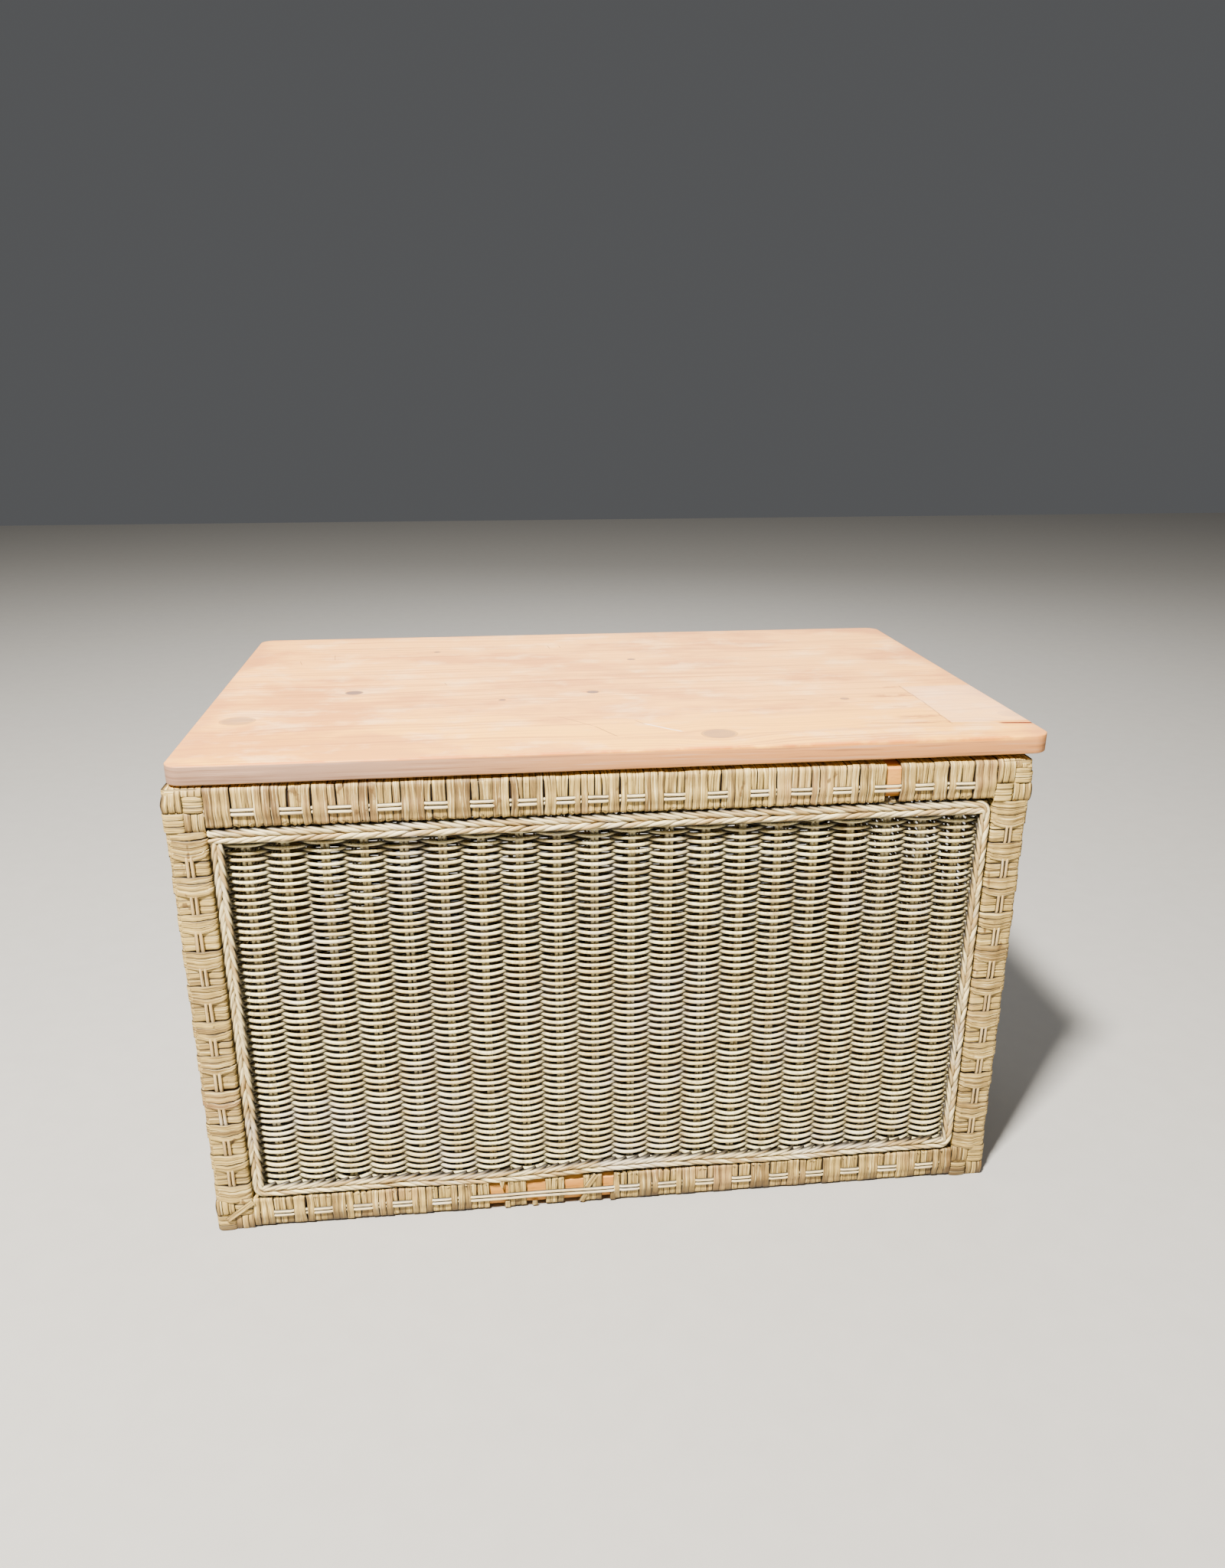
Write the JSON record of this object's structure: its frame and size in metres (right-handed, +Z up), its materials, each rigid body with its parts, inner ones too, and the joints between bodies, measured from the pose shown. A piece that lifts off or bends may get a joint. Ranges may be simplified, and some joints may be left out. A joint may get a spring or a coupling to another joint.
{
  "type": "wicker storage trunk",
  "caption": "Rectangular storage trunk with a cane-wrapped wooden frame, woven wicker panels edged with braid, and a hinged pine lid that opens upwards.",
  "frame": {"origin": "centre of the whole trunk's footprint, on the floor, with the lid closed", "axes": "+X runs along the trunk's width to the right as seen from the front, +Y runs from the front to the hinged back, +Z is up"},
  "size_m": [0.805, 0.504, 0.488],
  "materials": {
    "frame_wood": "dry, unfinished",
    "cane_wrap": "worn whitewash, satin",
    "liner_cane": "worn whitewash, satin",
    "stake_rattan": "satin",
    "woven_rattan": "worn whitewash, satin",
    "braid_rattan": "worn whitewash, satin",
    "plywood": "dry, unfinished",
    "lid_pine": "thin whitewash, matte",
    "batten_pine": "dry, unfinished",
    "hinge_brass": "dull",
    "screw_steel": "dull",
    "nail_steel": "dull"
  },
  "bodies": {
    "carcass": {"post_front_right": "frame_wood", "post_back_right": "frame_wood", "post_back_left": "frame_wood", "post_front_left": "frame_wood", "top_rail_front": "frame_wood", "top_rail_right": "frame_wood", "top_rail_back": "frame_wood", "top_rail_left": "frame_wood", "bottom_rail_front": "frame_wood", "bottom_rail_right": "frame_wood", "bottom_rail_back": "frame_wood", "bottom_rail_left": "frame_wood", "frame_dowels": "frame_wood", "post_wrap_front_right": "cane_wrap", "post_wrap_back_right": "cane_wrap", "post_wrap_back_left": "cane_wrap", "post_wrap_front_left": "cane_wrap", "top_rail_wrap_front": "cane_wrap", "top_rail_wrap_right": "cane_wrap", "top_rail_wrap_back": "cane_wrap", "top_rail_wrap_left": "cane_wrap", "bottom_rail_wrap_front": "cane_wrap", "bottom_rail_wrap_right": "cane_wrap", "bottom_rail_wrap_back": "cane_wrap", "bottom_rail_wrap_left": "cane_wrap", "liners_front": "liner_cane", "liners_right": "liner_cane", "liners_back": "liner_cane", "liners_left": "liner_cane", "stakes_front": "stake_rattan", "stakes_right": "stake_rattan", "stakes_back": "stake_rattan", "stakes_left": "stake_rattan", "weave_front": "woven_rattan", "weave_right": "woven_rattan", "weave_back": "woven_rattan", "weave_left": "woven_rattan", "braid_front": "braid_rattan", "braid_right": "braid_rattan", "braid_back": "braid_rattan", "braid_left": "braid_rattan", "base_board": "plywood", "base_ledgers": "frame_wood", "ledger_nails": "nail_steel", "hinge_left_rail_leaf": "hinge_brass", "hinge_left_pin": "hinge_brass", "hinge_right_rail_leaf": "hinge_brass", "hinge_right_pin": "hinge_brass", "rail_leaf_screws": "screw_steel"},
    "lid": {"lid_board_1": "lid_pine", "lid_board_2": "lid_pine", "lid_board_3": "lid_pine", "lid_board_4": "lid_pine", "lid_batten_left": "batten_pine", "lid_batten_right": "batten_pine", "batten_screws": "screw_steel", "hinge_left_lid_leaf": "hinge_brass", "hinge_right_lid_leaf": "hinge_brass", "lid_leaf_screws": "screw_steel"}
  },
  "joints": [
    {"name": "lid_hinge", "type": "hinge", "parent": "carcass", "child": "lid", "pos_m": [-0.0075, 0.2413, 0.4667], "axis": [-1, 0, 0], "range_deg": [0, 110]}
  ]
}
